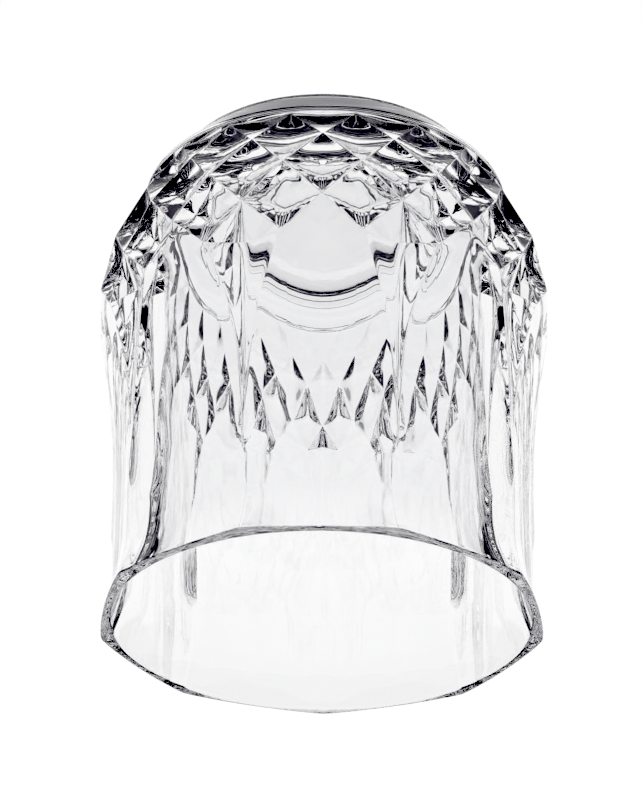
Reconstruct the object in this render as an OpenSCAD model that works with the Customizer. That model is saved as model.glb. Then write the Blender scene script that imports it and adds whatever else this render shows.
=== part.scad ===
// Stemless glass, pressed in one piece: a nine-sided flared wall over a band of
// diamond pits between raised ridges, on a round foot.
// The origin is the centre of the face that the glass rests on, and +Z is up.
// One side of the wall faces -Y.

/* [Glass] */
// Height from the table to the lip
glass_h = 102.3; // [95:0.1:112]
// Number of flat sides of the wall
side_count = 9; // [8:1:11]

/* [Rim] */
// Radius of the rim over its corners
rim_corner_r = 44; // [43:0.1:46]
// Radius of the rim at the middle of a side
rim_side_r = 42.4; // [41.6:0.1:43]
// Thickness of the rim at the middle of a side
rim_wall = 1.9; // [1.8:0.05:2.6]
// Radius of the round along the lip's two edges
lip_round = 0.8; // [0.3:0.05:0.9]

/* [Waist] */
// Height where the wall starts to flare out to the rim
flare_z = 91.5; // [86:0.1:96]
// Height where the sides start to swell down to the band
waist_z = 83.6; // [70:0.1:85]
// Radius of the waist over its corners
waist_corner_r = 42.35; // [42:0.05:42.8]
// Radius of the waist at the middle of a side
waist_side_r = 40; // [39.8:0.05:40.6]
// Thickness of the waist at the middle of a side
waist_wall = 1.9; // [1.7:0.1:3]

/* [Grooves between the sides] */
// Depth of a groove below the band's top corners
groove_depth = 3.3; // [2.4:0.1:3.5]
// Where a groove's flank starts on the band: 0 at the corner, 1 at the groove's bottom
flank_start_share = 0.05; // [0.02:0.01:0.3]

/* [Diamond band] */
// Height of the band's top corners
row_4_z = 40; // [38:0.1:44]
// Radius of the band's top corners
row_4_r = 44.8; // [43.5:0.1:46]
// Height of the fourth row of corners, where the sides end in a point
row_3_z = 32.6; // [30:0.1:35]
// Radius of the fourth row of corners
row_3_r = 45.3; // [44:0.1:46.5]
// Height of the third row of corners
row_2_z = 24.1; // [22:0.1:27]
// Radius of the third row of corners
row_2_r = 44.1; // [43:0.1:45.5]
// Height of the second row of corners
row_1_z = 16; // [14:0.1:18]
// Radius of the second row of corners
row_1_r = 40.6; // [39.5:0.1:42]
// Height of the lowest row of corners, on the foot
row_0_z = 8.7; // [8.6:0.1:11]
// Radius of the lowest row of corners
row_0_r = 36.5; // [35.5:0.1:36.6]
// Depth of the top row of pits below their four corners
pit_3_depth = 4.4; // [2:0.1:5.5]
// Depth of the middle row of pits
pit_2_depth = 3.6; // [1.5:0.1:4.5]
// Depth of the lowest row of whole pits
pit_1_depth = 2; // [0.5:0.1:3]
// Depth of the half pits that end on the foot
half_pit_depth = 0.9; // [0.3:0.1:2]
// Radius of a side's curve, seen from above, where it meets the band
side_bow_r = 67; // [60:1:150]

/* [Foot] */
// Height of the ledge on top of the foot
foot_h = 8.45; // [7:0.05:8.5]
// Radius of the ledge
ledge_r = 36.8; // [36.7:0.1:38]
// Height of the bead under the ledge
bead_h = 1; // [0.5:0.1:2]
// Depth of the line under the bead
line_depth = 0.5; // [0.2:0.1:1]
// Height of the line under the bead
line_h = 0.6; // [0.4:0.1:1]
// Radius of the foot at the table
foot_r = 30.2; // [28:0.1:32]
// Radius of the round along the foot's lower edge
foot_round = 0.8; // [0.4:0.1:1.5]
// Width of the flat ring that the glass rests on
rest_w = 1.8; // [1.2:0.1:3]
// Width of the low step inside that ring
step_w = 2.4; // [1:0.1:4]
// Height of the low step
step_h = 0.3; // [0.2:0.05:1]
// Height of the hollow inside the step, at its middle
hollow_h = 2; // [1.2:0.1:3]

/* [Inside] */
// Thickness of the floor over the table
floor_t = 12.5; // [10:0.5:16]
// Radius of the round between the floor and the bore
floor_round = 14; // [6:0.5:18]
// Height where the bore starts to widen
widen_z = 74; // [60:0.5:85]
// How much the bore widens from there up to the flare
widening = 0.9; // [0.2:0.1:1.5]
// Narrowing of the bore from there down to its floor
bore_draft = 0.2; // [0.1:0.1:1]

/* [Hidden] */
$fn = 96;
// How far a cut runs past what it cuts
overrun = 2;
// Steps of the mesh: from a side's middle to the ridge corner, in the lip, and so on
tip_steps = 4;
half_steps = tip_steps + 4;
side_steps = 2 * half_steps;
rows_below_flare = 16;
rows_in_flare = 6;
lip_steps = 4;
floor_steps = 12;
// A crease keeps this share of the distance to the corner, so that no face has zero width
crease_limit_share = 0.96;
// The band's core reaches into the foot at these shares of the foot's radius and height
core_r_share = 0.9;
core_z_share = 0.5;

// Angles: from a side's middle to its corner, and from there to a ridge corner
corner_a = 180 / side_count;
step_a = corner_a / 2;
around = side_count * side_steps;
pit_count = 2 * side_count;

// Outline of the wall
bore_rim_r = rim_side_r - rim_wall;
bore_waist_r = waist_side_r - waist_wall;
bore_r = bore_waist_r - widening;
floor_r = bore_r - bore_draft;
band_bow = 1 / (2 * side_bow_r);
band_side_r = row_4_r * cos(step_a) + band_bow * pow(row_4_r * sin(step_a), 2);

function lerp(a, b, t) = a + (b - a) * t;
// Eases a share in and out, level at both ends
function ease(t) = (1 - cos(180 * t)) / 2;
function bow(corner_r, side_r) =
    (side_r - corner_r * cos(corner_a)) / pow(corner_r * sin(corner_a), 2);

// Distance of a side's middle from the axis, at height z
function side_r(z) =
    z > flare_z ? lerp(waist_side_r, rim_side_r, pow((z - flare_z) / (glass_h - flare_z), 2))
    : z > waist_z ? waist_side_r
    : z > row_4_z ? lerp(waist_side_r, band_side_r, pow((waist_z - z) / (waist_z - row_4_z), 2))
    : lerp(band_side_r, row_3_r, (row_4_z - z) / (row_4_z - row_3_z));

// Curve of a side across its width, at height z
function side_bow(z) =
    let (waist_bow = bow(waist_corner_r, waist_side_r))
    z > flare_z
    ? lerp(waist_bow, bow(rim_corner_r, rim_side_r), pow((z - flare_z) / (glass_h - flare_z), 2))
    : z > waist_z ? waist_bow
    : z > row_4_z ? lerp(waist_bow, band_bow, ease((waist_z - z) / (waist_z - row_4_z)))
    : band_bow;

// Place across a side where a ray at an angle from its middle meets it
function ray_x(r, k, a) = a == 0 ? 0 : 2 * r / (1 / tan(a) + sqrt(pow(1 / tan(a), 2) + 4 * k * r));
function on_side(r, k, x) = [x, r - k * x * x];

// A groove's bottom on the band, and the slope of its flanks up to where they start there
groove_r = row_4_r - groove_depth;
groove_end = groove_r * [sin(corner_a), cos(corner_a)];
flank_start_x = lerp(row_4_r * sin(step_a), groove_end[0], flank_start_share);
flank_start = on_side(band_side_r, band_bow, flank_start_x);
flank = flank_start - groove_end;
flank_across = flank[1] * sin(corner_a) - flank[0] * cos(corner_a);
flank_up = flank[0] * sin(corner_a) + flank[1] * cos(corner_a);
groove_rise = flank_up / flank_across;

// Radius of a groove's bottom at height z, where it cuts into the corner
function groove_bottom(z, corner_r) =
    z >= waist_z ? corner_r
    : min(corner_r, lerp(groove_r, waist_corner_r, (z - row_4_z) / (waist_z - row_4_z)));

// Width of a groove's flank, from its bottom to the crease on the side
function flank_w(r, k, bottom) =
    let (x = bottom * sin(corner_a), y = bottom * cos(corner_a))
    let (across = cos(corner_a) - groove_rise * sin(corner_a))
    let (up = sin(corner_a) + groove_rise * cos(corner_a))
    let (a = k * across * across, b = up - 2 * k * x * across, c = y + k * x * x - r)
    c >= 0 ? 0 : -2 * c / (b + sqrt(b * b - 4 * a * c));

// Half of a side's outline at height z, drawn in by inset: [across, outwards] points
function half_side(z, inset) =
    let (r = side_r(z) - inset, k = side_bow(z))
    let (corner_x = ray_x(r, k, corner_a), corner_r = corner_x / sin(corner_a))
    let (bottom = groove_bottom(z, corner_r), w = flank_w(r, k, bottom))
    let (end = bottom * [sin(corner_a), cos(corner_a)])
    let (across = cos(corner_a) - groove_rise * sin(corner_a))
    let (crease_x = min(end[0] - across * w, crease_limit_share * corner_x))
    let (crease = on_side(r, k, crease_x), ridge_x = ray_x(r, k, step_a))
    let (half_x = (crease_x + end[0]) / 2)
    let (flank_mid = w > 0 ? (crease + end) / 2 : on_side(r, k, half_x))
    concat(
        [for (j = [0 : tip_steps]) on_side(r, k, ray_x(r, k, step_a * j / tip_steps))],
        [on_side(r, k, (ridge_x + crease_x) / 2), crease, flank_mid, end]
    );

// A point of side s: p is [across, outwards], and a negative j is the mirrored half
function place(s, j, p, z) =
    let (a = 2 * corner_a * s, x = j < 0 ? -p[0] : p[0])
    [p[1] * sin(a) + x * cos(a), x * sin(a) - p[1] * cos(a), z];
function at(r, a, z) = [r * sin(a), -r * cos(a), z];

// The lowest row of the wall: up each ridge from the side's point, then level to the groove
function low_row() =
    let (tip = [0, row_3_r], top = row_4_r * [sin(step_a), cos(step_a)])
    let (level = half_side(row_4_z, 0))
    [for (j = [0 : half_steps])
        j < tip_steps ? lerp(tip, top, j / tip_steps) : j == tip_steps ? top : level[j]];
function low_z(j) = j < tip_steps ? lerp(row_3_z, row_4_z, j / tip_steps) : row_4_z;

// Rows of the wall, each a list of [across, outwards, height] from a side's middle to its corner
function wall_row(i) =
    i == 0
    ? [for (j = [0 : half_steps]) concat(low_row()[j], low_z(j))]
    : i <= rows_below_flare
    ? [for (j = [0 : half_steps])
        let (z = lerp(low_z(j), flare_z, i / rows_below_flare))
        concat(half_side(z, 0)[j], z)]
    : let (n = i - rows_below_flare, straight_h = glass_h - lip_round)
      let (t = min(n / rows_in_flare, 1), a = 90 * max(n - rows_in_flare, 0) / lip_steps)
      let (z = lerp(flare_z, straight_h, t) + lip_round * sin(a))
      [for (p = half_side(z, lip_round * (1 - cos(a)))) concat(p, z)];

last_row = rows_below_flare + rows_in_flare + lip_steps;
wall_rows = [for (i = [0 : last_row]) wall_row(i)];
wall_points = [
    for (row = wall_rows, s = [0 : side_count - 1], j = [1 - half_steps : half_steps])
    place(s, j, [row[abs(j)][0], row[abs(j)][1]], row[abs(j)][2])
];

// Pit bottoms: the middle of the four corners, sunk square to the band's outline
function pit(r, z, r_above, z_above, r_below, z_below, depth) =
    let (run = [r_above - r_below, z_above - z_below], out = [run[1], -run[0]] / norm(run))
    let (mid = ([r * cos(step_a), z] + [r_above + r_below, z_above + z_below] / 2) / 2)
    mid - depth * out;
pit_3 = pit(row_3_r, row_3_z, row_4_r, row_4_z, row_2_r, row_2_z, pit_3_depth);
pit_2 = pit(row_2_r, row_2_z, row_3_r, row_3_z, row_1_r, row_1_z, pit_2_depth);
pit_1 = pit(row_1_r, row_1_z, row_2_r, row_2_z, row_0_r, row_0_z, pit_1_depth);
pit_0 = [row_0_r * cos(step_a) - half_pit_depth, row_0_z];

// Band points: corners and pit bottoms in turn, each list once around
function ring(r, z, from_a) = [for (m = [0 : pit_count - 1]) at(r, from_a + corner_a * m, z)];
band_points = concat(
    ring(row_3_r, row_3_z, 0), ring(row_2_r, row_2_z, step_a),
    ring(row_1_r, row_1_z, 0), ring(row_0_r, row_0_z, step_a),
    ring(pit_3[0], pit_3[1], step_a), ring(pit_2[0], pit_2[1], 0),
    ring(pit_1[0], pit_1[1], step_a), ring(pit_0[0], pit_0[1], 0),
    ring(foot_r * core_r_share, foot_h * core_z_share, 0),
    ring(foot_r * core_r_share, foot_h * core_z_share, step_a)
);
cap_points = [[0, 0, foot_h * core_z_share], [0, 0, glass_h]];

// Index of each point
function wall_at(i, c) = i * around + (c + around) % around;
function band_at(list, m) = len(wall_points) + list * pit_count + (m + pit_count) % pit_count;
function column(s, j) = s * side_steps + j + half_steps - 1;
function row_3_at(m) = m % 2 == 0 ? wall_at(0, column(m / 2, 0)) : band_at(0, m);
function row_4_at(m) =
    wall_at(0, m % 2 == 0 ? column(m / 2, tip_steps) : column((m + 1) / 2, -tip_steps));
core_point = len(wall_points) + len(band_points);
lip_point = core_point + 1;

// Four facets of a pit, given its bottom and its corners left, above, right and below
function facets(c, left, above, right, below) =
    [[c, left, above], [c, above, right], [c, right, below], [c, below, left]];

wall_faces = [
    for (i = [0 : last_row - 1], c = [0 : around - 1])
    each [
        [wall_at(i, c), wall_at(i + 1, c), wall_at(i + 1, c + 1)],
        [wall_at(i, c), wall_at(i + 1, c + 1), wall_at(i, c + 1)]
    ]
];
lip_faces = [for (c = [0 : around - 1]) [lip_point, wall_at(last_row, c + 1), wall_at(last_row, c)]];
// Ridges beside a side's point, cut into short steps like the wall above them
tip_faces = [
    for (s = [0 : side_count - 1], j = [0 : tip_steps - 1])
    each [
        [band_at(4, 2 * s), wall_at(0, column(s, j)), wall_at(0, column(s, j + 1))],
        [band_at(4, 2 * s - 1), wall_at(0, column(s, -j - 1)), wall_at(0, column(s, -j))]
    ]
];
// Facets under the foot of each groove
groove_faces = [
    for (s = [0 : side_count - 1], j = [tip_steps : side_steps - tip_steps - 1])
    [row_3_at(2 * s + 1), wall_at(0, column(s, j)), wall_at(0, column(s, j + 1))]
];
pit_3_faces = [
    for (m = [0 : pit_count - 1])
    each [
        m % 2 == 0
        ? [band_at(4, m), row_4_at(m), row_3_at(m + 1)]
        : [band_at(4, m), row_3_at(m), row_4_at(m)],
        [band_at(4, m), row_3_at(m + 1), band_at(1, m)],
        [band_at(4, m), band_at(1, m), row_3_at(m)]
    ]
];
pit_2_faces = [
    for (m = [0 : pit_count - 1])
    each facets(band_at(5, m), band_at(1, m - 1), row_3_at(m), band_at(1, m), band_at(2, m))
];
pit_1_faces = [
    for (m = [0 : pit_count - 1])
    each facets(band_at(6, m), band_at(2, m), band_at(1, m), band_at(2, m + 1), band_at(3, m))
];
pit_0_faces = [
    for (m = [0 : pit_count - 1])
    each [[band_at(7, m), band_at(3, m - 1), band_at(2, m)], [band_at(7, m), band_at(2, m), band_at(3, m)]]
];
core_faces = [
    for (m = [0 : pit_count - 1])
    each [
        [band_at(7, m), band_at(3, m), band_at(9, m)], [band_at(7, m), band_at(9, m), band_at(8, m)],
        [band_at(3, m), band_at(7, m + 1), band_at(8, m + 1)],
        [band_at(3, m), band_at(8, m + 1), band_at(9, m)],
        [core_point, band_at(8, m), band_at(9, m)],
        [core_point, band_at(9, m), band_at(8, m + 1)]
    ]
];

// Wall and band, solid, down into the foot
module wall_and_band() {
    polyhedron(
        points = concat(wall_points, band_points, cap_points),
        faces = concat(
            wall_faces, lip_faces, tip_faces, groove_faces,
            pit_3_faces, pit_2_faces, pit_1_faces, pit_0_faces, core_faces
        )
    );
}

// Foot: a cone from the table out to a bead, with a fine line under the bead
module foot() {
    bead_z = foot_h - bead_h;
    line_z = bead_z - line_h;
    rotate_extrude()
        polygon(concat(
            [[0, 0]],
            [for (a = [0 : 15 : 90]) [foot_r - foot_round * (1 - sin(a)), foot_round * (1 - cos(a))]],
            [[ledge_r - line_depth, line_z], [ledge_r - line_depth, bead_z]],
            [[ledge_r, bead_z + line_depth], [ledge_r, foot_h], [0, foot_h]]
        ));
}

// The space inside the glass, up through the rim
module inside() {
    straight_h = glass_h - lip_round;
    // The flare carries on at the slope of the widening bore, so that there is no edge between them
    carry = widening * (straight_h - flare_z) / (flare_z - widen_z);
    rotate_extrude()
        polygon(concat(
            [[0, floor_t]],
            [for (i = [0 : floor_steps])
                let (a = 90 * i / floor_steps)
                [floor_r - floor_round * (1 - sin(a)), floor_t + floor_round * (1 - cos(a))]],
            [[bore_r, widen_z]],
            [for (i = [0 : rows_in_flare])
                let (t = i / rows_in_flare, flare = bore_rim_r - bore_waist_r - carry)
                [bore_waist_r + carry * t + flare * t * t, lerp(flare_z, straight_h, t)]],
            [for (a = [90 / lip_steps : 90 / lip_steps : 90])
                [bore_rim_r + lip_round * (1 - cos(a)), straight_h + lip_round * sin(a)]],
            [[bore_rim_r + lip_round, glass_h + overrun], [0, glass_h + overrun]]
        ));
}

// The shallow hollow under the foot, with a low step inside the ring that the glass rests on
module underside_hollow() {
    step_r = foot_r - foot_round - rest_w;
    hollow_r = step_r - step_w;
    rotate_extrude()
        polygon(concat(
            [[0, -overrun], [step_r, -overrun], [step_r, 0], [step_r - step_h, step_h]],
            [for (a = [0 : 15 : 90]) [hollow_r * cos(a), lerp(step_h, hollow_h, sin(a))]]
        ));
}

// The whole glass, one piece
module glass_body() {
    color([0.9, 0.94, 0.97, 0.5])
        difference() {
            union() {
                wall_and_band();
                foot();
            }
            inside();
            underside_hollow();
        }
}

glass_body();
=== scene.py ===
"""A nine-sided pressed drinking glass with a diamond band, clear, on a pale table."""
from math import atan2, cos, pi, radians, sin, sqrt, tan

import bmesh
import bpy
from mathutils import Matrix, Vector


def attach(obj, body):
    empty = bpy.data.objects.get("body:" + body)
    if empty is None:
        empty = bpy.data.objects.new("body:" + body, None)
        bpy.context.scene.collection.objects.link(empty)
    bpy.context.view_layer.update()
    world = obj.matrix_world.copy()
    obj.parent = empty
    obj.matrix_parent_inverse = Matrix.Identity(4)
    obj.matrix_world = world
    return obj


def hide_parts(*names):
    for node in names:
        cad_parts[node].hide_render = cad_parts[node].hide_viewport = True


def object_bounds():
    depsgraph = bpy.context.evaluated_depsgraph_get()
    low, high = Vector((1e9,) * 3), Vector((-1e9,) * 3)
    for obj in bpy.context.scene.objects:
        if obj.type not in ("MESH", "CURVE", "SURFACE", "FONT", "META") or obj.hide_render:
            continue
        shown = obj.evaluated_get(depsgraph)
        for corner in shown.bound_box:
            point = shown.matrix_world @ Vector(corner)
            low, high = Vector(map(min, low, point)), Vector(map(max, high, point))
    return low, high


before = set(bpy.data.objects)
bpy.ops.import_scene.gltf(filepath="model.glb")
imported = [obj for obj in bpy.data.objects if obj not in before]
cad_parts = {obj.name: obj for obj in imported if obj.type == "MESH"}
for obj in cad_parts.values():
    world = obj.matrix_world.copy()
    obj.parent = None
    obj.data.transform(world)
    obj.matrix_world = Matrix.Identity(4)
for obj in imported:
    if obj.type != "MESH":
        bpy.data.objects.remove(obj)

MM = 0.001
cad_low, cad_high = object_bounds()

# Sizes of the glass in millimetres, as in the construction
GLASS_H = (cad_high.z - cad_low.z) / MM
SIDE_COUNT = 9
RIM_CORNER_R, RIM_SIDE_R, RIM_WALL, LIP_ROUND = 44.0, 42.4, 1.9, 0.8
FLARE_Z, WAIST_Z = 91.5, 83.6
WAIST_CORNER_R, WAIST_SIDE_R, WAIST_WALL = 42.35, 40.0, 1.9
GROOVE_DEPTH, FLANK_START = 3.3, 0.05
ROWS = [(36.5, 8.7), (40.6, 16.0), (44.1, 24.1), (45.3, 32.6), (44.8, 40.0)]
PIT_DEPTHS = {3: 4.4, 2: 3.6, 1: 2.0}
HALF_PIT_DEPTH = 0.9
SIDE_BOW_R = 67.0
FOOT_H, LEDGE_R, BEAD_H, LINE_DEPTH, LINE_H = 8.45, 36.8, 1.0, 0.5, 0.6
FOOT_R, FOOT_ROUND = 30.2, 0.8
REST_W, STEP_W, STEP_H, HOLLOW_H = 1.8, 2.4, 0.3, 2.0
FLOOR_T, FLOOR_ROUND, WIDEN_Z, WIDENING, BORE_DRAFT = 12.5, 14.0, 74.0, 0.9, 0.2

CORNER_A = pi / SIDE_COUNT
STEP_A = CORNER_A / 2
BORE_RIM_R = RIM_SIDE_R - RIM_WALL
BORE_WAIST_R = WAIST_SIDE_R - WAIST_WALL
BORE_R = BORE_WAIST_R - WIDENING
FLOOR_R = BORE_R - BORE_DRAFT
STRAIGHT_H = GLASS_H - LIP_ROUND
STEP_R = FOOT_R - FOOT_ROUND - REST_W
HOLLOW_R = STEP_R - STEP_W

# How finely the surfaces are cut
PIT_STEPS, SIDE_STEPS, FLANK_STEPS = 12, 6, 8
WALL_ROWS, FLARE_ROWS, LIP_ROWS, FOOT_STEPS = 34, 10, 6, 10
WIDEN_ROWS, BORE_ROWS, ROUND_ROWS, FLOOR_ROWS = 6, 16, 20, 6
EDGE_ROWS, HOLLOW_ROWS = 6, 12
# A side ends in its groove or corner at this share of the corner's place, or before it
CREASE_LIMIT = 0.93
# Points nearer than this are joined at the seams, and faces thinner than this are closed up
SEAM, THIN = 0.02, 0.005

# How soft the pressed and polished edges are: ridges and pit bottoms as shares of a pit,
# the rest in millimetres
RIDGE_SOFT, PIT_SOFT_POWER, ON_RIDGE = 0.02, 7, 1e-6
CREASE_SOFT, CORNER_SOFT, RIM_CORNER_SOFT, GROOVE_SOFT = 0.15, 1.7, 0.8, 0.6


def lerp(a, b, t):
    return a + (b - a) * t


def ease(t):
    """Eases a share in and out, level at both ends."""
    return (1 - cos(pi * t)) / 2


# Steps along a ridge and across a pit, closer together near the ridges
SPREAD = [ease(i / PIT_STEPS) for i in range(PIT_STEPS + 1)]


def bow(corner_r, side_r):
    """Curve of a side across its width, from its radius at the corner and at the middle."""
    return (side_r - corner_r * cos(CORNER_A)) / (corner_r * sin(CORNER_A)) ** 2


ROW_4_R, ROW_4_Z = ROWS[4]
ROW_3_R, ROW_3_Z = ROWS[3]
BAND_SIDE_R = ROW_4_R * cos(STEP_A) + (ROW_4_R * sin(STEP_A)) ** 2 / (2 * SIDE_BOW_R)
WAIST_BOW, RIM_BOW = bow(WAIST_CORNER_R, WAIST_SIDE_R), bow(RIM_CORNER_R, RIM_SIDE_R)
BAND_BOW = 1 / (2 * SIDE_BOW_R)


def side_shape(z):
    """Distance of a side's middle from the axis, and its curve, at height z."""
    if z > FLARE_Z:
        t = ((z - FLARE_Z) / (GLASS_H - FLARE_Z)) ** 2
        return lerp(WAIST_SIDE_R, RIM_SIDE_R, t), lerp(WAIST_BOW, RIM_BOW, t)
    if z > WAIST_Z:
        return WAIST_SIDE_R, WAIST_BOW
    if z > ROW_4_Z:
        t = (WAIST_Z - z) / (WAIST_Z - ROW_4_Z)
        return lerp(WAIST_SIDE_R, BAND_SIDE_R, t * t), lerp(WAIST_BOW, BAND_BOW, ease(t))
    return lerp(BAND_SIDE_R, ROW_3_R, (ROW_4_Z - z) / (ROW_4_Z - ROW_3_Z)), BAND_BOW


def ray_x(r, k, a):
    """Place across a side where a ray at angle a from its middle meets it."""
    return 0.0 if a == 0 else 2 * r / (1 / tan(a) + sqrt(1 / tan(a) ** 2 + 4 * k * r))


# A groove's bottom on the band, and the slope of its flanks from where they start there
GROOVE_R = ROW_4_R - GROOVE_DEPTH
START_X = lerp(ROW_4_R * sin(STEP_A), GROOVE_R * sin(CORNER_A), FLANK_START)
GROOVE_END = GROOVE_R * Vector((sin(CORNER_A), cos(CORNER_A)))
FLANK = Vector((START_X, BAND_SIDE_R - BAND_BOW * START_X ** 2)) - GROOVE_END
FLANK_UP = FLANK.dot(Vector((sin(CORNER_A), cos(CORNER_A))))
GROOVE_RISE = FLANK_UP / FLANK.dot(Vector((-cos(CORNER_A), sin(CORNER_A))))


def half_side(z, inset=0.0):
    """Half of a side's outline at height z, from its middle to its corner: (across, outwards)."""
    r, k = side_shape(z)
    r -= inset
    corner_x = ray_x(r, k, CORNER_A)
    bottom = corner_x / sin(CORNER_A)
    if z < WAIST_Z:
        bottom = min(bottom, lerp(GROOVE_R, WAIST_CORNER_R, (z - ROW_4_Z) / (WAIST_Z - ROW_4_Z)))
    x, y = bottom * sin(CORNER_A), bottom * cos(CORNER_A)
    across = cos(CORNER_A) - GROOVE_RISE * sin(CORNER_A)
    up = sin(CORNER_A) + GROOVE_RISE * cos(CORNER_A)
    a, b, c = k * across * across, up - 2 * k * x * across, y + k * x * x - r
    w = 0.0 if c >= 0 else -2 * c / (b + sqrt(b * b - 4 * a * c))
    crease_x = min(x - across * w, CREASE_LIMIT * corner_x)
    ridge_x = ray_x(r, k, STEP_A)
    xs = [ray_x(r, k, STEP_A * t) for t in SPREAD]
    xs += [lerp(ridge_x, crease_x, sin(pi / 2 * i / SIDE_STEPS)) for i in range(1, SIDE_STEPS + 1)]
    xs += [lerp(crease_x, x, i / FLANK_STEPS) for i in range(1, FLANK_STEPS + 1)]
    points = []
    # Softens the crease between side and flank, less where either is narrow
    crease_soft = min(CREASE_SOFT, 0.5 * (crease_x - ridge_x), 0.3 * w)
    for px in xs:
        py = r - k * px * px
        if w > 0 and px > ridge_x:
            flank_y = y + (x - px) * up / across
            py = (py + flank_y - sqrt((py - flank_y) ** 2 + crease_soft ** 2)) / 2
        points.append((px, py))
    points[-1] = (x, y)
    # Rounds the corner, or the bottom of the groove, along the ray to the corner
    (x_a, y_a), (x_b, y_b) = points[-2:]
    run = (x_b - x_a) * cos(CORNER_A) - (y_b - y_a) * sin(CORNER_A)
    rise = (x_b - x_a) * sin(CORNER_A) + (y_b - y_a) * cos(CORNER_A)
    near_rim = max(0.0, (z - FLARE_Z) / (GLASS_H - FLARE_Z))
    soft = GROOVE_SOFT if rise < 0 else lerp(CORNER_SOFT, RIM_CORNER_SOFT, near_rim)
    away = [(x_b - px) * cos(CORNER_A) - (y_b - py) * sin(CORNER_A) for px, py in points]
    shifts = [sqrt(d * d + soft ** 2) - d for d in away]
    rounded = []
    for (px, py), shift in zip(points, shifts):
        shift = rise / run * max(0.0, shift - shifts[PIT_STEPS])
        rounded.append((px - shift * sin(CORNER_A), py - shift * cos(CORNER_A)))
    return rounded


HALF_STEPS = PIT_STEPS + SIDE_STEPS + FLANK_STEPS


def polar(r, a, z):
    """A point at radius r, at angle a from -Y towards +X, and at height z."""
    return (r * sin(a), -r * cos(a), z)


def bore_outline():
    """Radius and height of the inside, from the lip's top down and in to the floor's middle."""
    outline = []
    for i in range(LIP_ROWS, 0, -1):
        a = pi / 2 * i / LIP_ROWS
        outline.append((BORE_RIM_R + LIP_ROUND * (1 - cos(a)), STRAIGHT_H + LIP_ROUND * sin(a)))
    carry = WIDENING * (STRAIGHT_H - FLARE_Z) / (FLARE_Z - WIDEN_Z)
    for i in range(FLARE_ROWS, 0, -1):
        t = i / FLARE_ROWS
        flare = (BORE_RIM_R - BORE_WAIST_R - carry) * t * t
        outline.append((BORE_WAIST_R + carry * t + flare, lerp(FLARE_Z, STRAIGHT_H, t)))
    round_top = FLOOR_T + FLOOR_ROUND
    for i in range(WIDEN_ROWS):
        t = i / WIDEN_ROWS
        outline.append((lerp(BORE_WAIST_R, BORE_R, t), lerp(FLARE_Z, WIDEN_Z, t)))
    for i in range(BORE_ROWS):
        t = i / BORE_ROWS
        outline.append((lerp(BORE_R, FLOOR_R, t), lerp(WIDEN_Z, round_top, t)))
    for i in range(ROUND_ROWS + 1):
        a = pi / 2 * i / ROUND_ROWS
        outline.append((FLOOR_R - FLOOR_ROUND * (1 - cos(a)), round_top - FLOOR_ROUND * sin(a)))
    outline += [((FLOOR_R - FLOOR_ROUND) * (1 - i / FLOOR_ROWS), FLOOR_T) for i in range(1, FLOOR_ROWS)]
    return outline


def wall_rows():
    """Rows of the outside, from the ridges up to the lip's top, then down the bore to the floor."""
    tip, top = (0.0, ROW_3_R), (ROW_4_R * sin(STEP_A), ROW_4_R * cos(STEP_A))
    level = half_side(ROW_4_Z)
    low = []
    for j in range(HALF_STEPS + 1):
        t = SPREAD[min(j, PIT_STEPS)]
        x, y = (lerp(tip[0], top[0], t), lerp(tip[1], top[1], t)) if j <= PIT_STEPS else level[j]
        low.append((x, -y, lerp(ROW_3_Z, ROW_4_Z, t)))
    rows = [low]
    for i in range(1, WALL_ROWS + 1):
        row = []
        for j in range(HALF_STEPS + 1):
            z = lerp(low[j][2], FLARE_Z, i / WALL_ROWS)
            x, y = half_side(z)[j]
            row.append((x, -y, z))
        rows.append(row)
    for i in range(1, FLARE_ROWS + 1):
        z = lerp(FLARE_Z, STRAIGHT_H, i / FLARE_ROWS)
        rows.append([(x, -y, z) for x, y in half_side(z)])
    for i in range(1, LIP_ROWS + 1):
        a = pi / 2 * i / LIP_ROWS
        z = STRAIGHT_H + LIP_ROUND * sin(a)
        rows.append([(x, -y, z) for x, y in half_side(z, LIP_ROUND * (1 - cos(a)))])
    angles = [atan2(x, -y) for x, y, z in rows[-1]]
    rows += [[polar(r, a, z) for a in angles] for r, z in bore_outline()]
    return rows


def outwards(i):
    """Direction out of the pits on row i, square to the band: along the radius and up."""
    (r_up, z_up), (r_low, z_low) = ROWS[i + 1], ROWS[i - 1]
    run = Vector((r_up - r_low, z_up - z_low)).normalized()
    return Vector((run.y, -run.x))


def sunk(u, v):
    """Depth of a pit as a share, at a place given by two shares across it: four facets, softly joined."""
    near = (u, 1 - u, v, 1 - v)
    if min(near) < ON_RIDGE:
        return 0.0
    d = sum(n ** -PIT_SOFT_POWER for n in near) ** (-1 / PIT_SOFT_POWER)
    return 2 * (sqrt(d * d + RIDGE_SOFT ** 2) - RIDGE_SOFT)


def pit_grid(i, middle_a):
    """Points of a pit on row i round the angle middle_a: a list for each step up a ridge."""
    (r, z), (r_up, z_up), (r_low, z_low) = ROWS[i], ROWS[i + 1], ROWS[i - 1]
    low, high = Vector(polar(r_low, middle_a, z_low)), Vector(polar(r_up, middle_a, z_up))
    right, left = Vector(polar(r, middle_a + STEP_A, z)), Vector(polar(r, middle_a - STEP_A, z))
    out = outwards(i)
    grid = []
    for u in SPREAD:
        line = []
        for v in SPREAD:
            p = low.lerp(right, u).lerp(left.lerp(high, u), v)
            a = atan2(p.x, -p.y)
            line.append(p - PIT_DEPTHS[i] * sunk(u, v) * Vector((out.x * sin(a), -out.x * cos(a), out.y)))
        grid.append(line)
    return grid


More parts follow.
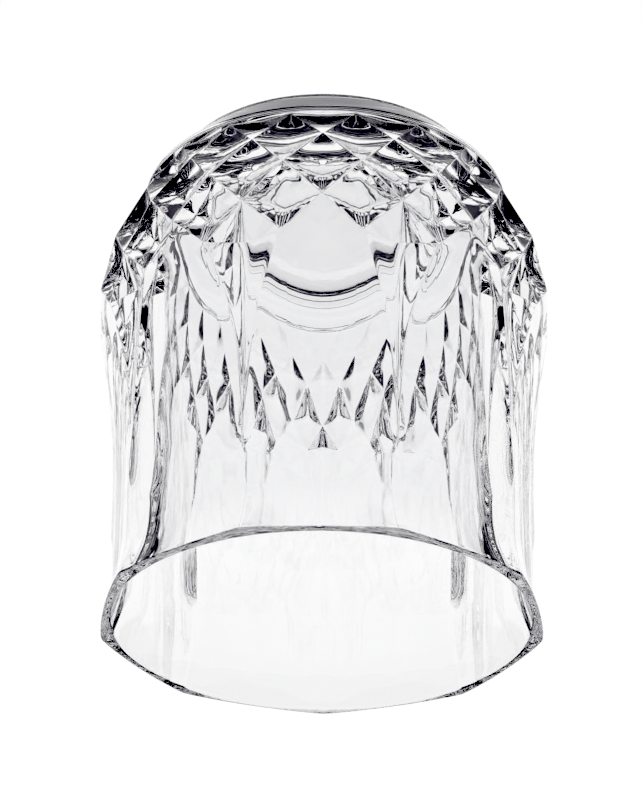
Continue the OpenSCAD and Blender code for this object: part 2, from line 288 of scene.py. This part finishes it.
def foot_outline():
    """Radius and height of the foot, from the ledge down and in to the middle of the underside."""
    bead_z = FOOT_H - BEAD_H
    line_z = bead_z - LINE_H
    outline = [(LEDGE_R, FOOT_H), (LEDGE_R, bead_z + LINE_DEPTH)]
    outline += [(LEDGE_R - LINE_DEPTH, bead_z), (LEDGE_R - LINE_DEPTH, line_z)]
    for i in range(EDGE_ROWS, -1, -1):
        a = pi / 2 * i / EDGE_ROWS
        outline.append((FOOT_R - FOOT_ROUND * (1 - sin(a)), FOOT_ROUND * (1 - cos(a))))
    outline += [(STEP_R, 0.0), (STEP_R - STEP_H, STEP_H)]
    for i in range(HOLLOW_ROWS):
        a = pi / 2 * i / HOLLOW_ROWS
        outline.append((HOLLOW_R * cos(a), lerp(STEP_H, HOLLOW_H, sin(a))))
    return outline


def half_side_mesh():
    """One half side of the whole glass: from the middle of a side to its corner, in to the axis."""
    bm = bmesh.new()

    def vert(p):
        return bm.verts.new(Vector(p) * MM)

    def face(*verts):
        return bm.faces.new(verts)

    rows = [[vert(p) for p in row] for row in wall_rows()]
    for low, high in zip(rows, rows[1:]):
        for j in range(HALF_STEPS):
            face(low[j], low[j + 1], high[j + 1], high[j])
    centre = vert((0, 0, FLOOR_T))
    for j in range(HALF_STEPS):
        face(rows[-1][j], rows[-1][j + 1], centre)

    # Pits: whole ones round the ridge corner, and halves at the side's middle and at its corner
    for i, middle_a, half in ((3, STEP_A, 0), (1, STEP_A, 0), (2, 0.0, 1), (2, CORNER_A, -1)):
        grid = [[vert(p) for p in line] for line in pit_grid(i, middle_a)]
        for a in range(PIT_STEPS):
            for b in range(PIT_STEPS):
                corners = grid[a][b], grid[a + 1][b], grid[a + 1][b + 1], grid[a][b + 1]
                if half == 0 or (a - b) * half > 0:
                    face(*corners)
                elif a == b:
                    face(corners[0], corners[2], corners[3]) if half < 0 else face(*corners[:3])
    # Facets under the groove, and the two halves of half pits that end on the foot
    right_3 = Vector(polar(ROW_3_R, CORNER_A, ROW_3_Z)) * MM
    level = [rows[0][j].co for j in range(PIT_STEPS, HALF_STEPS + 1)]
    fans = [(right_3, level)]
    row_0 = Vector(polar(ROWS[0][0], STEP_A, ROWS[0][1])) * MM
    row_1_left, row_1_right = (Vector(polar(ROWS[1][0], a, ROWS[1][1])) * MM for a in (0, CORNER_A))
    half_pit_r = ROWS[0][0] * cos(STEP_A) - HALF_PIT_DEPTH
    in_left, in_right = (Vector(polar(half_pit_r, a, ROWS[0][1])) * MM for a in (0, CORNER_A))
    fans += [(row_1_left, [row_0, in_left]), (row_1_right, [in_right, row_0])]
    for point, line in fans:
        steps = [[bm.verts.new(point.lerp(p, t)) for p in line] for t in SPREAD[1:]]
        start = bm.verts.new(point)
        for j in range(len(line) - 1):
            face(start, steps[0][j + 1], steps[0][j])
            for near, far in zip(steps, steps[1:]):
                face(near[j], near[j + 1], far[j + 1], far[j])
    edge = [bm.verts.new(p) for p in (in_left, row_0, in_right)]

    # Foot, from the ledge down and in
    outline = foot_outline()
    steps = [CORNER_A * j / FOOT_STEPS for j in range(FOOT_STEPS + 1)]
    rings = [[vert(polar(r, a, z)) for a in steps] for r, z in outline]
    for high, low_ring in zip(rings, rings[1:]):
        for j in range(FOOT_STEPS):
            face(low_ring[j], low_ring[j + 1], high[j + 1], high[j])
    under = vert((0, 0, HOLLOW_H))
    for j in range(FOOT_STEPS):
        face(rings[-1][j + 1], rings[-1][j], under)
    drop = [vert((v.co.x / MM, v.co.y / MM, FOOT_H)) for v in edge]
    for j in range(2):
        face(drop[j], drop[j + 1], edge[j + 1], edge[j])
    face(*rings[0], *reversed(drop))
    mesh = bpy.data.meshes.new("glass_half_side")
    bm.to_mesh(mesh)
    bm.free()
    return mesh


def repeat_tree(material):
    """Geometry nodes: mirrors a half side, turns copies of it round the axis, joins and dresses them."""
    tree = bpy.data.node_groups.new("sides_round_axis", "GeometryNodeTree")
    face = tree.interface
    face.new_socket("Geometry", in_out="INPUT", socket_type="NodeSocketGeometry")
    sides = face.new_socket("Sides", in_out="INPUT", socket_type="NodeSocketInt")
    seam = face.new_socket("Seam", in_out="INPUT", socket_type="NodeSocketFloat")
    face.new_socket("Geometry", in_out="OUTPUT", socket_type="NodeSocketGeometry")
    sides.default_value, seam.default_value = SIDE_COUNT, SEAM * MM
    node, link = tree.nodes.new, tree.links.new
    inputs, outputs = node("NodeGroupInput"), node("NodeGroupOutput")
    mirror, flip = node("GeometryNodeTransform"), node("GeometryNodeFlipFaces")
    join = node("GeometryNodeJoinGeometry")
    mirror.inputs["Scale"].default_value = (-1, 1, 1)
    link(inputs.outputs["Geometry"], mirror.inputs["Geometry"])
    link(mirror.outputs["Geometry"], flip.inputs["Mesh"])
    link(flip.outputs["Mesh"], join.inputs["Geometry"])
    link(inputs.outputs["Geometry"], join.inputs["Geometry"])
    points, instances = node("GeometryNodePoints"), node("GeometryNodeInstanceOnPoints")
    index, angle = node("GeometryNodeInputIndex"), node("ShaderNodeCombineXYZ")
    share, turn = node("ShaderNodeMath"), node("ShaderNodeMath")
    share.operation, turn.operation = "DIVIDE", "MULTIPLY"
    turn.inputs[1].default_value = 2 * pi
    link(inputs.outputs["Sides"], points.inputs["Count"])
    link(index.outputs["Index"], share.inputs[0])
    link(inputs.outputs["Sides"], share.inputs[1])
    link(share.outputs[0], turn.inputs[0])
    link(turn.outputs[0], angle.inputs["Z"])
    link(points.outputs["Points"], instances.inputs["Points"])
    link(join.outputs["Geometry"], instances.inputs["Instance"])
    link(angle.outputs["Vector"], instances.inputs["Rotation"])
    realize, merge = node("GeometryNodeRealizeInstances"), node("GeometryNodeMergeByDistance")
    dress = node("GeometryNodeSetMaterial")
    dress.inputs["Material"].default_value = material
    link(instances.outputs["Instances"], realize.inputs["Geometry"])
    link(realize.outputs["Geometry"], merge.inputs["Geometry"])
    link(inputs.outputs["Seam"], merge.inputs["Distance"])
    link(merge.outputs["Geometry"], dress.inputs["Geometry"])
    link(dress.outputs["Geometry"], outputs.inputs["Geometry"])
    return tree, {"Sides": sides.identifier, "Seam": seam.identifier}


# Edges of the foot sharper than this are rounded, this far on both sides, in millimetres
SHARP_A, FOOT_EDGE_W = radians(14), 0.12


def weigh_edges(mesh):
    """Closes up faces without width, and marks the edges of the foot that a bevel rounds."""
    bm = bmesh.new()
    bm.from_mesh(mesh)
    bmesh.ops.dissolve_degenerate(bm, dist=THIN * MM, edges=bm.edges)
    weight = bm.edges.layers.float.new("bevel_weight_edge")
    for edge in bm.edges:
        top = max(vert.co.z for vert in edge.verts) / MM
        if top < FOOT_H + SEAM / 2 and len(edge.link_faces) == 2 and edge.calc_face_angle() > SHARP_A:
            edge[weight] = 1.0
    bm.to_mesh(mesh)
    bm.free()


def glass_piece(material):
    """The whole glass as one closed mesh, with the edges of its foot rounded."""
    tree, sockets = repeat_tree(material)
    piece = bpy.data.objects.new("glass_pressed", half_side_mesh())
    piece.data.materials.append(material)
    bpy.context.scene.collection.objects.link(piece)
    repeat = piece.modifiers.new("sides", "NODES")
    repeat.node_group = tree
    repeat[sockets["Sides"]] = SIDE_COUNT
    repeat[sockets["Seam"]] = SEAM * MM
    whole = bpy.data.meshes.new_from_object(piece.evaluated_get(bpy.context.evaluated_depsgraph_get()))
    piece.modifiers.clear()
    weigh_edges(whole)
    piece.data = whole
    for polygon in whole.polygons:
        polygon.use_smooth = True
    rounded = piece.modifiers.new("rounded foot edges", "BEVEL")
    rounded.limit_method, rounded.offset_type = "WEIGHT", "OFFSET"
    rounded.width, rounded.segments = FOOT_EDGE_W * MM, 2
    rounded.use_clamp_overlap = True
    flat = piece.modifiers.new("flat facets", "WEIGHTED_NORMAL")
    flat.mode, flat.weight, flat.keep_sharp = "FACE_AREA", 50, False
    finished = bpy.data.meshes.new_from_object(piece.evaluated_get(bpy.context.evaluated_depsgraph_get()))
    piece.modifiers.clear()
    piece.data = finished
    finished.name = "glass_pressed"
    return piece


def clear_glass():
    """Clear crystal glass."""
    material = bpy.data.materials.new("clear_glass")
    material.use_nodes = True
    shader = material.node_tree.nodes["Principled BSDF"]
    shader.inputs["Base Color"].default_value = (0.962, 0.963, 0.967, 1)
    shader.inputs["Roughness"].default_value = 0.0
    shader.inputs["IOR"].default_value = 1.545
    shader.inputs["Transmission Weight"].default_value = 1.0
    return material


# Painted pool of light in the table's emission colour: its middle and half its size in metres, and the
# shares of that size where it starts and ends to fade
POOL_Y, POOL_HALF_X, POOL_HALF_Y = 0.18, 0.17, 0.25
POOL_FULL, POOL_END = 0.97, 1.5
POOL_GLOW, TABLE_GLOW = 0.97, 0.5
TABLE_HALF_W, TABLE_DROP = 6.0, 0.05 * MM


def table_top():
    """Pale table that glows with a painted pool of light round the glass, in its emission colour, with no
    shadow on it.
    """
    bm = bmesh.new()
    place = Matrix.Translation((0, 0, -TABLE_DROP))
    bmesh.ops.create_grid(bm, x_segments=1, y_segments=1, size=TABLE_HALF_W, matrix=place)
    mesh = bpy.data.meshes.new("table")
    bm.to_mesh(mesh)
    bm.free()
    table = bpy.data.objects.new("table", mesh)
    bpy.context.scene.collection.objects.link(table)
    material = bpy.data.materials.new("table_painted_pool_light")
    material.use_nodes = True
    node, link = material.node_tree.nodes.new, material.node_tree.links.new
    shader = material.node_tree.nodes["Principled BSDF"]
    shader.inputs["Base Color"].default_value = (0.1, 0.1, 0.1, 1)
    shader.inputs["Roughness"].default_value = 1.0
    shader.inputs["Specular IOR Level"].default_value = 0.0
    shader.inputs["Emission Strength"].default_value = 1.0
    coords, pool = node("ShaderNodeTexCoord"), node("ShaderNodeVectorMath")
    reach = node("ShaderNodeVectorMath")
    pool.operation, reach.operation = "MULTIPLY_ADD", "LENGTH"
    pool.inputs[1].default_value = (1 / POOL_HALF_X, 1 / POOL_HALF_Y, 0)
    pool.inputs[2].default_value = (0, -POOL_Y / POOL_HALF_Y, 0)
    # Painted light: the emission fades from the pool's bright middle to the dimmer table beyond
    fade, glow = node("ShaderNodeMapRange"), node("ShaderNodeCombineColor")
    fade.interpolation_type = "SMOOTHSTEP"
    fade.inputs["From Min"].default_value, fade.inputs["From Max"].default_value = POOL_FULL, POOL_END
    fade.inputs["To Min"].default_value, fade.inputs["To Max"].default_value = POOL_GLOW, TABLE_GLOW
    link(coords.outputs["Object"], pool.inputs[0])
    link(pool.outputs[0], reach.inputs[0])
    link(reach.outputs["Value"], fade.inputs["Value"])
    for channel in ("Red", "Green", "Blue"):
        link(fade.outputs["Result"], glow.inputs[channel])
    link(glow.outputs["Color"], shader.inputs["Emission Color"])
    material.cycles.emission_sampling = "NONE"
    table.data.materials.append(material)
    return table


# Camera, from the photograph: it hangs upside down, because the photograph is turned half round
RIM_R = 0.044
CAMERA_BACK, CAMERA_UP = 14.628 * RIM_R, 9.045 * RIM_R
CAMERA_PITCH, CAMERA_TURN, CAMERA_ROLL = radians(28.18), radians(0.80), radians(0.52)
FOCAL_PX, PHOTO_LONG_PX, PHOTO_SHORT_PX, MIDDLE_PX = 3668.4, 800, 642, 323.4
SENSOR_MM = 36.0


def camera():
    """The camera at the photograph's place, height, tilt and framing."""
    data = bpy.data.cameras.new("camera")
    data.sensor_width = SENSOR_MM
    data.lens = FOCAL_PX / PHOTO_LONG_PX * SENSOR_MM
    data.shift_x = (PHOTO_SHORT_PX / 2 - MIDDLE_PX) / PHOTO_LONG_PX
    data.clip_start, data.clip_end = 0.01, 50
    turn, pitch, roll = CAMERA_TURN, CAMERA_PITCH, CAMERA_ROLL
    right = Vector((cos(turn), -sin(turn), 0))
    ahead = Vector((sin(turn) * cos(pitch), cos(turn) * cos(pitch), -sin(pitch)))
    up = Vector((sin(turn) * sin(pitch), cos(turn) * sin(pitch), cos(pitch)))
    right, up = -(right * cos(roll) + up * sin(roll)), -(up * cos(roll) - right * sin(roll))
    eye = bpy.data.objects.new("camera", data)
    place = Matrix((right, up, -ahead)).transposed().to_4x4()
    place.translation = Vector((-CAMERA_BACK * sin(turn), -CAMERA_BACK * cos(turn), CAMERA_UP))
    eye.matrix_world = place
    bpy.context.scene.collection.objects.link(eye)
    bpy.context.scene.camera = eye
    return eye


def studio():
    """Dim soft light all round, over the glowing table."""
    world = bpy.data.worlds.new("studio")
    bpy.context.scene.world = world
    world.use_nodes = True
    world.node_tree.nodes["Background"].inputs["Color"].default_value = (0.9, 0.93, 1, 1)
    world.node_tree.nodes["Background"].inputs["Strength"].default_value = 0.03


camera()
studio()
table_top()
glass = glass_piece(clear_glass())
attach(glass, "root")
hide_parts("glass_body")

# Contrast of the photograph: its darkest greys are black, and its paper is white
scene = bpy.context.scene
scene.view_settings.view_transform = "Standard"
scene.view_settings.use_curve_mapping = True
scene.view_settings.curve_mapping.black_level = (0.126, 0.13, 0.118)
scene.view_settings.curve_mapping.white_level = (0.96, 0.96, 0.96)
# Light meets many faces of the glass before it leaves
scene.cycles.max_bounces = 24
scene.cycles.transmission_bounces = 24
scene.cycles.glossy_bounces = 12
scene.cycles.transparent_max_bounces = 16
